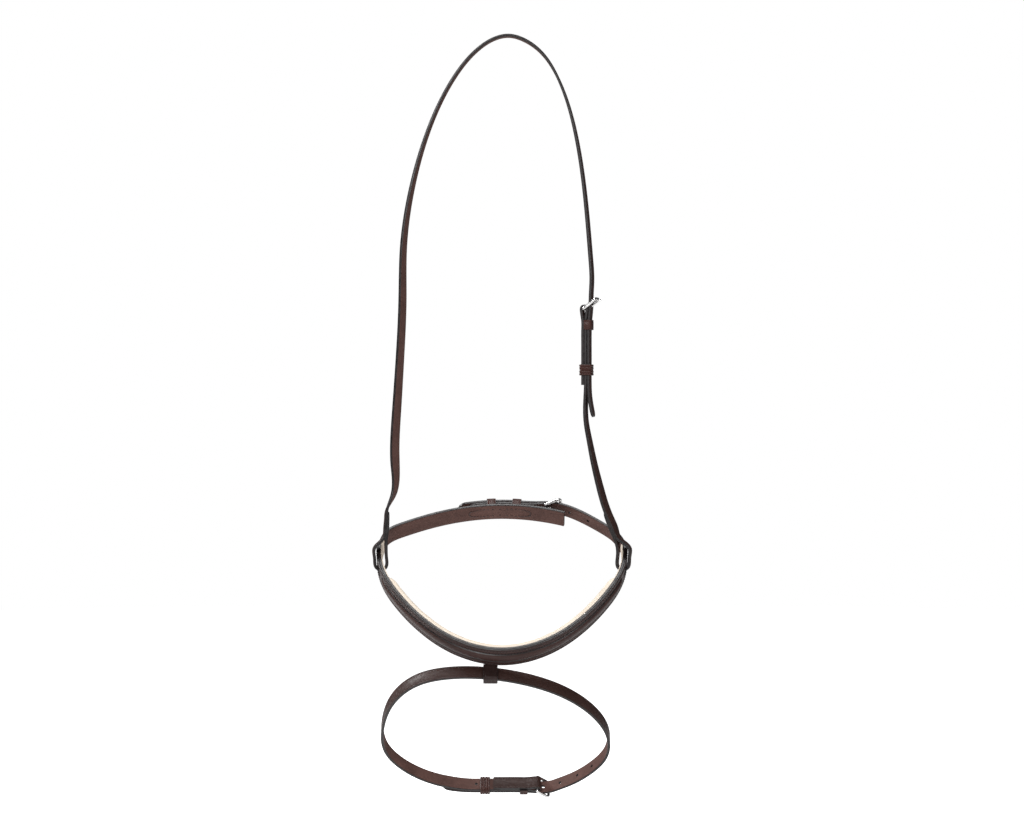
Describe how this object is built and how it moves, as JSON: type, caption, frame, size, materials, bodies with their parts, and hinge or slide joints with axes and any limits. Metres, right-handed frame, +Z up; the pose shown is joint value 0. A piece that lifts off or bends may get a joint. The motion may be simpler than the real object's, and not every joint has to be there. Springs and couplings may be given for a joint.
{
  "type": "padded caveson noseband with flash strap",
  "caption": "Padded leather caveson noseband on its own headstrap, with a flash strap, steel buckles, keepers and a cream lined nosepiece.",
  "frame": {"origin": "underside of the headstrap at the poll, where it rests over the head or on a peg", "axes": "+Z up along the headstrap, +X towards the side with the cheek buckle, -Y towards the nosepiece"},
  "size_m": [0.2597, 0.1685, 0.7713],
  "materials": {
    "strap_leather": "satin",
    "nose_leather": "satin",
    "keeper_leather": "satin",
    "cream_lining": "matt",
    "foam": "matt",
    "core": "matt",
    "steel": "polished"
  },
  "bodies": {
    "headpiece": {"headstrap": "strap_leather", "cheekpiece": "strap_leather", "cheek_fixed_keeper": "keeper_leather"},
    "cheek_buckle": {"cheek_buckle_frame": "steel"},
    "cheek_tongue": {"cheek_buckle_tongue": "steel"},
    "cheek_slider": {"cheek_running_keeper": "keeper_leather"},
    "noseband": {"nosepiece_leather": "nose_leather", "nosepiece_bead_core": "core", "nosepiece_backing": "strap_leather", "nosepiece_pad": "foam", "nosepiece_lining": "cream_lining", "rear_strap": "strap_leather", "rear_billet": "strap_leather", "rear_chape": "strap_leather", "rear_keeper_near": "keeper_leather", "rear_keeper_far": "keeper_leather", "flash_attachment_loop": "keeper_leather"},
    "rear_buckle": {"rear_buckle_frame": "steel"},
    "rear_tongue": {"rear_buckle_tongue": "steel"},
    "flash": {"flash_strap": "strap_leather", "flash_fixed_keeper": "keeper_leather"},
    "flash_buckle": {"flash_buckle_frame": "steel"},
    "flash_tongue": {"flash_buckle_tongue": "steel"},
    "flash_slider": {"flash_running_keeper": "keeper_leather"}
  },
  "joints": [
    {"name": "cheek_buckle_rock", "type": "hinge", "parent": "headpiece", "child": "cheek_buckle", "pos_m": [0.0765, 0.0003, -0.2717], "axis": [0.2079, 0.9781, 0], "range_deg": [-10, 0]},
    {"name": "cheek_tongue_lift", "type": "hinge", "parent": "headpiece", "child": "cheek_tongue", "pos_m": [0.0765, 0.0003, -0.2717], "axis": [0.2079, 0.9781, 0], "range_deg": [0, 4]},
    {"name": "cheek_keeper_slide", "type": "slide", "parent": "headpiece", "child": "cheek_slider", "axis": [0, 0, 1], "range_m": [-0.008, 0.026]},
    {"name": "noseband_swing", "type": "hinge", "parent": "headpiece", "child": "noseband", "pos_m": [-0.0065, -0.00172, -0.53251], "axis": [1, 0, 0], "range_deg": [-46, 1.5]},
    {"name": "rear_buckle_rock", "type": "hinge", "parent": "noseband", "child": "rear_buckle", "pos_m": [0.03738, 0.05281, -0.47531], "axis": [0, -0.7193, 0.6947], "range_deg": [-3, 0]},
    {"name": "rear_tongue_lift", "type": "hinge", "parent": "noseband", "child": "rear_tongue", "pos_m": [0.03738, 0.05281, -0.47531], "axis": [0, -0.7193, 0.6947], "range_deg": [0, 4]},
    {"name": "flash_swing", "type": "hinge", "parent": "noseband", "child": "flash", "pos_m": [-0.0175, -0.07349, -0.63003], "axis": [1, 0, 0], "range_deg": [-4, 4]},
    {"name": "flash_buckle_rock", "type": "hinge", "parent": "flash", "child": "flash_buckle", "pos_m": [0.029, 0.06481, -0.75455], "axis": [0, 0.6691, 0.7431], "range_deg": [-3, 0]},
    {"name": "flash_tongue_lift", "type": "hinge", "parent": "flash", "child": "flash_tongue", "pos_m": [0.029, 0.06481, -0.75455], "axis": [0, 0.6691, 0.7431], "range_deg": [0, 4]},
    {"name": "flash_keeper_slide", "type": "slide", "parent": "flash", "child": "flash_slider", "axis": [1, 0, 0], "range_m": [-0.003, 0.003]}
  ]
}
